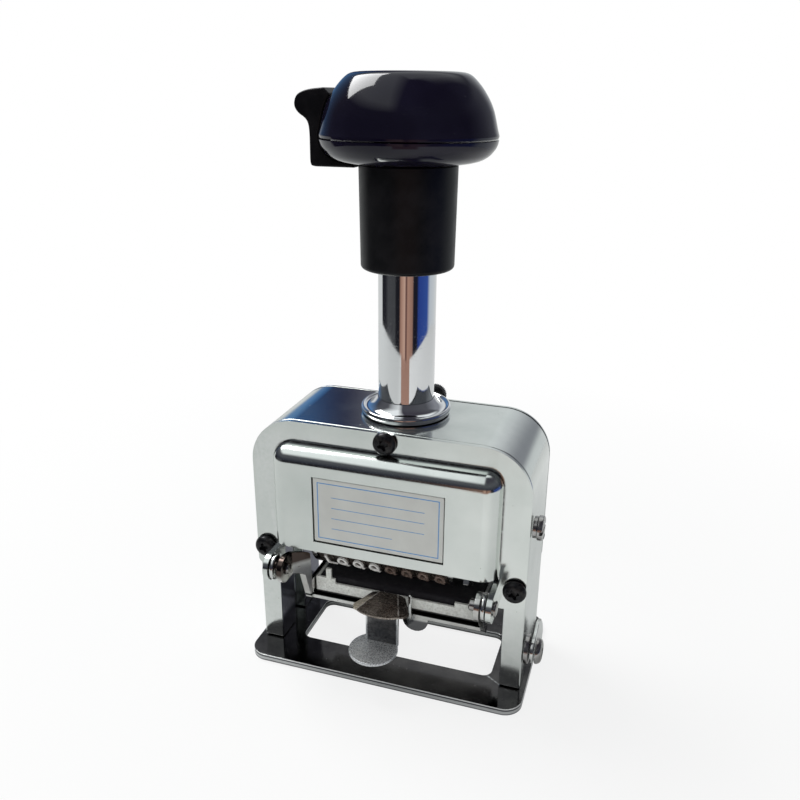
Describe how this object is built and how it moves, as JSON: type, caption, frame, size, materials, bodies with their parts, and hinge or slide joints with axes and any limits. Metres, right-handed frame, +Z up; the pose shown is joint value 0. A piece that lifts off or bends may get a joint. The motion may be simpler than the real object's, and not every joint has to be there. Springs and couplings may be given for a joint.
{
  "type": "numbering stamp",
  "caption": "Hand-operated numbering stamp: arched casing on two legs, window base, push knob, row of number wheels and a swinging ink-pad tray.",
  "frame": {"origin": "middle of the footprint's bounding box, on the underside of the base", "axes": "+Z up along the plunger, +Y to the back, +X to the side with the lock lever"},
  "size_m": [0.0812, 0.0518, 0.1556],
  "materials": {
    "chrome": "mirror-like plating",
    "dark_chrome": "polished, dark reflections",
    "black_oxide": "black oxide, satin",
    "steel": "turned steel, satin",
    "brass": "turned brass",
    "galvanised": "galvanised, speckled",
    "label_silver": "satin silver plate",
    "gloss_black": "glossy",
    "satin_black": "satin",
    "ink_felt": "ink-soaked felt",
    "type_metal": "engraved type, ink-stained"
  },
  "bodies": {
    "frame": {"base_plate": "dark_chrome", "side_frame": "chrome", "front_cover": "chrome", "label_plate": "label_silver", "back_cover": "chrome", "selector_plate": "label_silver", "selector_screw": "steel", "cover_screw_left": "black_oxide", "cover_screw_right": "black_oxide", "cover_screw_top": "black_oxide", "back_screw_left": "black_oxide", "back_screw_right": "black_oxide", "back_screw_top_left": "black_oxide", "back_screw_top_right": "black_oxide", "side_stud": "steel", "lock_boss": "steel", "lock_screw": "steel", "neck_tube": "chrome", "neck_flange": "chrome", "neck_nut": "steel", "return_spring": "steel", "pad_pin_left": "steel", "pad_pin_right": "steel", "pivot_washer_left": "steel", "pivot_washer_right": "steel"},
    "plunger": {"knob_top": "gloss_black", "knob_bottom": "gloss_black", "grip_sleeve": "satin_black", "plunger_rod": "steel", "finger_hook": "satin_black", "wheel_yoke": "steel", "rod_nut": "steel", "wheel_axle": "steel", "side_disc": "steel", "axle_collar": "brass", "end_disc": "steel", "wheel_spacer": "brass", "detent_comb": "brass"},
    "feed": {"feed_arm": "steel"},
    "wheel_1": {"number_wheel_1": "type_metal"},
    "wheel_2": {"number_wheel_2": "type_metal"},
    "wheel_3": {"number_wheel_3": "type_metal"},
    "wheel_4": {"number_wheel_4": "type_metal"},
    "wheel_5": {"number_wheel_5": "type_metal"},
    "wheel_6": {"number_wheel_6": "type_metal"},
    "wheel_7": {"number_wheel_7": "type_metal"},
    "wheel_8": {"number_wheel_8": "type_metal", "ratchet_disc": "steel"},
    "pad_swing": {"pad_carrier": "chrome"},
    "tray": {"ink_tray": "galvanised", "ink_pad": "ink_felt", "tray_grip": "dark_chrome", "tray_catch": "steel"},
    "selector": {"selector_lever": "dark_chrome", "selector_button": "black_oxide"},
    "lock": {"lock_lever": "steel"}
  },
  "joints": [
    {"name": "plunger_slide", "type": "slide", "parent": "frame", "child": "plunger", "axis": [0, 0, -1], "range_m": [0, 0.0255], "stiffness_N_per_m": 600, "springref_m": -0.01, "deforming": ["return_spring"]},
    {"name": "pad_swing_hinge", "type": "hinge", "parent": "frame", "child": "pad_swing", "pos_m": [-0.00175, -0.0194, 0.032], "axis": [1, 0, 0], "range_deg": [-90, 0]},
    {"name": "feed_hinge", "type": "hinge", "parent": "plunger", "child": "feed", "pos_m": [-0.00175, -0.0004, 0.038], "axis": [1, 0, 0], "range_deg": [-36, 0]},
    {"name": "wheel_1_spin", "type": "hinge", "parent": "plunger", "child": "wheel_1", "pos_m": [-0.00175, -0.0004, 0.038], "axis": [1, 0, 0], "continuous": true},
    {"name": "wheel_2_spin", "type": "hinge", "parent": "plunger", "child": "wheel_2", "pos_m": [-0.00175, -0.0004, 0.038], "axis": [1, 0, 0], "continuous": true},
    {"name": "wheel_3_spin", "type": "hinge", "parent": "plunger", "child": "wheel_3", "pos_m": [-0.00175, -0.0004, 0.038], "axis": [1, 0, 0], "continuous": true},
    {"name": "wheel_4_spin", "type": "hinge", "parent": "plunger", "child": "wheel_4", "pos_m": [-0.00175, -0.0004, 0.038], "axis": [1, 0, 0], "continuous": true},
    {"name": "wheel_5_spin", "type": "hinge", "parent": "plunger", "child": "wheel_5", "pos_m": [-0.00175, -0.0004, 0.038], "axis": [1, 0, 0], "continuous": true},
    {"name": "wheel_6_spin", "type": "hinge", "parent": "plunger", "child": "wheel_6", "pos_m": [-0.00175, -0.0004, 0.038], "axis": [1, 0, 0], "continuous": true},
    {"name": "wheel_7_spin", "type": "hinge", "parent": "plunger", "child": "wheel_7", "pos_m": [-0.00175, -0.0004, 0.038], "axis": [1, 0, 0], "continuous": true},
    {"name": "wheel_8_spin", "type": "hinge", "parent": "plunger", "child": "wheel_8", "pos_m": [-0.00175, -0.0004, 0.038], "axis": [1, 0, 0], "continuous": true},
    {"name": "tray_slide", "type": "slide", "parent": "pad_swing", "child": "tray", "axis": [0, -1, 0], "range_m": [0, 0.03]},
    {"name": "selector_hinge", "type": "hinge", "parent": "frame", "child": "selector", "pos_m": [-0.00175, 0.0166, 0.056], "axis": [0, 1, 0], "range_deg": [-28, 0]},
    {"name": "lock_hinge", "type": "hinge", "parent": "frame", "child": "lock", "pos_m": [0.03575, -0.0074, 0.013], "axis": [1, 0, 0], "range_deg": [0, 60]}
  ],
  "couplings": [
    {"joint": "pad_swing_hinge", "follows": "plunger_slide", "rad_per_m": -61.5},
    {"joint": "feed_hinge", "follows": "plunger_slide", "rad_per_m": -24.6}
  ]
}
